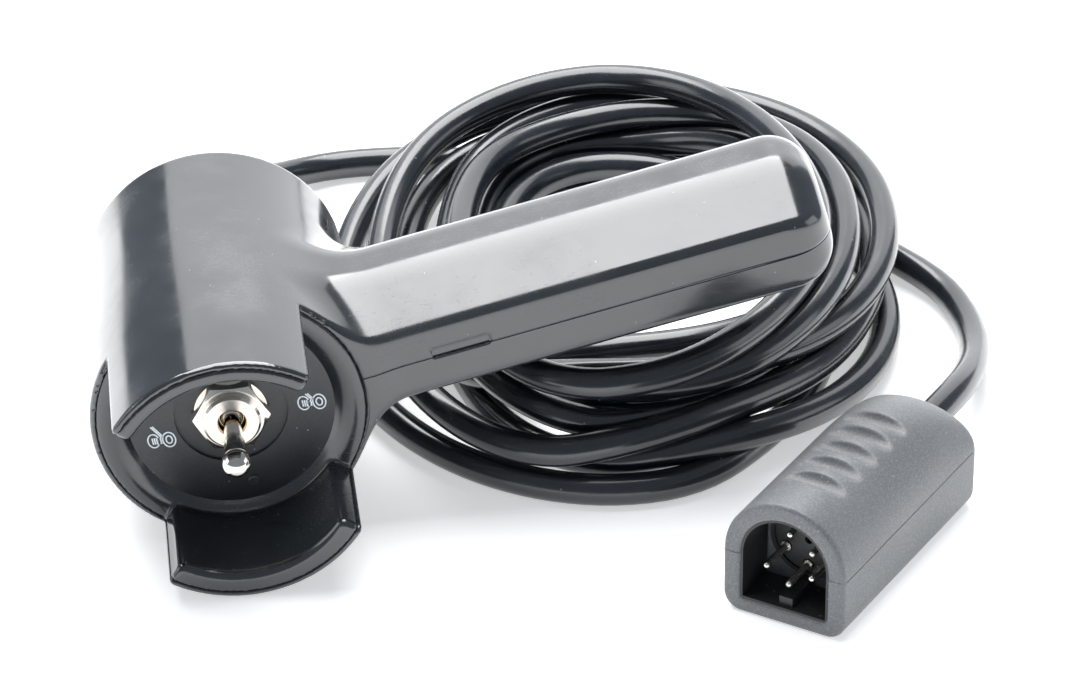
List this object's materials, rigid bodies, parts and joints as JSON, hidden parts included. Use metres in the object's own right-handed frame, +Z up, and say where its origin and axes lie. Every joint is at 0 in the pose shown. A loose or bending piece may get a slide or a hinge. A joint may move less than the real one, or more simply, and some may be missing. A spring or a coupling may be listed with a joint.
{
  "type": "winch remote control",
  "caption": "Wired hand-held winch remote: pistol-grip handset with a guarded toggle switch, coiled cord and D-shaped multi-pin plug.",
  "frame": {"origin": "on the ground below the middle of the handset", "axes": "+X from the head along the handle, +Y towards the back of the head where the cord comes out, +Z up"},
  "size_m": [0.1987, 0.2181, 0.0729],
  "materials": {
    "case_gloss": "moulded glossy black, light handling scratches",
    "bezel_gloss": "moulded glossy black",
    "panel_satin": "satin black with two printed winch symbols",
    "plated_nut": "bright nickel plate",
    "lever_chrome": "polished chrome",
    "plain_steel": "zinc plated",
    "throat_brass": "bare brass",
    "switch_phenolic": "moulded brown phenolic",
    "cord_sheath": "smooth glossy black PVC",
    "plug_rubber": "matt charcoal, fine grain",
    "plug_plastic": "dark moulded insert",
    "pin_nickel": "nickel plate",
    "wire_red": "insulated wire",
    "wire_white": "insulated wire",
    "wire_black": "insulated wire"
  },
  "bodies": {
    "handset": {"upper_shell": "case_gloss", "lower_shell": "case_gloss", "front_bezel": "bezel_gloss", "case_screws": "plain_steel", "switch_panel": "panel_satin", "panel_peg": "panel_satin", "panel_nut": "plated_nut", "front_washer": "plated_nut", "lock_washer": "plain_steel", "back_nut": "plain_steel", "switch_bushing": "plated_nut", "throat_sleeve": "throat_brass", "lever_pin": "plain_steel", "switch_frame": "plain_steel", "switch_case": "switch_phenolic", "rocker_pin": "throat_brass", "terminal_in": "throat_brass", "terminal_common": "throat_brass", "terminal_out": "throat_brass", "wire_in": "wire_red", "wire_common": "wire_white", "wire_out": "wire_black", "clamp_base": "case_gloss", "clamp_cap": "case_gloss", "clamp_screws": "plain_steel", "cord_relief": "cord_sheath", "cord_tail": "cord_sheath", "cord_lead": "cord_sheath", "cord_coil": "cord_sheath", "cord_run": "cord_sheath", "plug_body": "plug_rubber", "hood_liner": "plug_plastic", "pin_carrier": "plug_plastic", "contact_pin_1": "pin_nickel", "contact_pin_2": "pin_nickel", "contact_pin_3": "pin_nickel", "contact_pin_4": "pin_nickel", "contact_pin_5": "pin_nickel", "pin_wires": "wire_white", "cord_end": "cord_sheath"},
    "toggle": {"toggle_lever": "lever_chrome", "lever_plunger": "throat_brass", "plunger_spring": "plain_steel"},
    "rocker": {"contact_rocker": "throat_brass"}
  },
  "joints": [
    {"name": "toggle_hinge", "type": "hinge", "parent": "handset", "child": "toggle", "pos_m": [-0.04896, -0.026, 0.029], "axis": [-0.2419, 0, 0.9703], "range_deg": [-13, 13], "stiffness_Nm_per_rad": 0.05},
    {"name": "rocker_hinge", "type": "hinge", "parent": "handset", "child": "rocker", "pos_m": [-0.04896, -0.0105, 0.029], "axis": [-0.2419, 0, 0.9703], "range_deg": [-8, 8]}
  ],
  "couplings": [
    {"joint": "rocker_hinge", "follows": "toggle_hinge", "ratio": -0.6}
  ]
}
